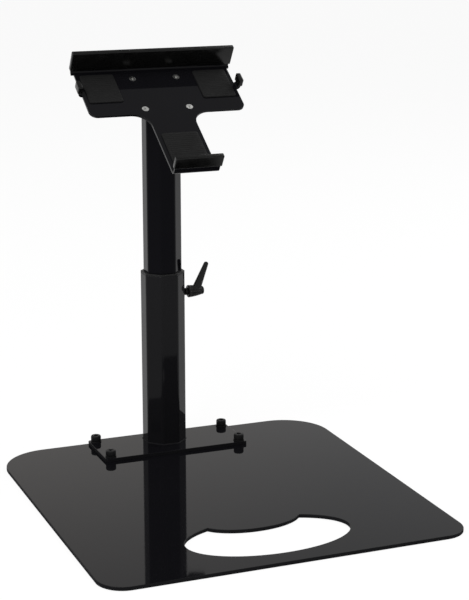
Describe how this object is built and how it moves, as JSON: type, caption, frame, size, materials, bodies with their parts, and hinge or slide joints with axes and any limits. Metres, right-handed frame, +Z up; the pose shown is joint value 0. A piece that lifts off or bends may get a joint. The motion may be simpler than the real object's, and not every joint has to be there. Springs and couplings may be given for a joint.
{
  "type": "dj equipment stand",
  "caption": "Free-standing pedestal with a flat base plate, a telescopic octagonal post locked by a clamp lever, and a tilted cradle with rubber-capped lips for a tabletop player.",
  "frame": {"origin": "centre of the base plate's underside, on the floor", "axes": "+Z up; +X towards the clamp lever's side; +Y towards the rear edge, where the post stands"},
  "size_m": [0.5, 0.5344, 0.5883],
  "materials": {
    "black_paint": "gloss black paint on steel",
    "black_steel": "black oxide, satin",
    "zinc_steel": "zinc plated",
    "black_plastic": "matte moulded nylon",
    "black_rubber": "matte moulded rubber"
  },
  "bodies": {
    "base": {"base_plate": "black_paint", "foot_flange": "black_paint", "flange_washers": "black_steel", "flange_screws": "black_steel", "outer_post": "black_paint", "foot_weld": "black_paint", "guide_bush": "black_plastic", "clamp_insert": "black_steel"},
    "mast": {"inner_post": "black_paint", "post_glide": "black_plastic", "head_plate": "black_paint", "head_weld": "black_paint", "cradle_plate": "black_paint", "cradle_screws": "zinc_steel", "cradle_washers": "zinc_steel", "cradle_nuts": "zinc_steel", "front_cover": "black_rubber", "rear_cover": "black_rubber", "left_cover": "black_rubber", "right_cover": "black_rubber", "front_pad": "black_rubber", "left_pad": "black_rubber", "right_pad": "black_rubber"},
    "shoe": {"clamp_shoe": "black_plastic"},
    "stud": {"clamp_stud": "black_steel", "lever_screw": "black_steel", "lever_spring": "zinc_steel"},
    "lever": {"lever_handle": "black_plastic"}
  },
  "joints": [
    {"name": "height_slide", "type": "slide", "parent": "base", "child": "mast", "axis": [0, 0, 1], "range_m": [-0.08, 0.07]},
    {"name": "shoe_advance", "type": "slide", "parent": "base", "child": "shoe", "axis": [1, 0, 0], "range_m": [0, 0.00065]},
    {"name": "lever_turn", "type": "hinge", "parent": "shoe", "child": "stud", "pos_m": [0.0385, 0.229, 0.2328], "axis": [1, 0, 0], "range_deg": [0, 180]},
    {"name": "lever_lift", "type": "slide", "parent": "stud", "child": "lever", "axis": [1, 0, 0], "range_m": [0, 0.0045], "stiffness_N_per_m": 700, "springref_m": -0.002, "deforming": ["lever_spring"]}
  ],
  "couplings": [
    {"joint": "shoe_advance", "follows": "lever_turn", "m_per_rad": 0.00019894}
  ]
}
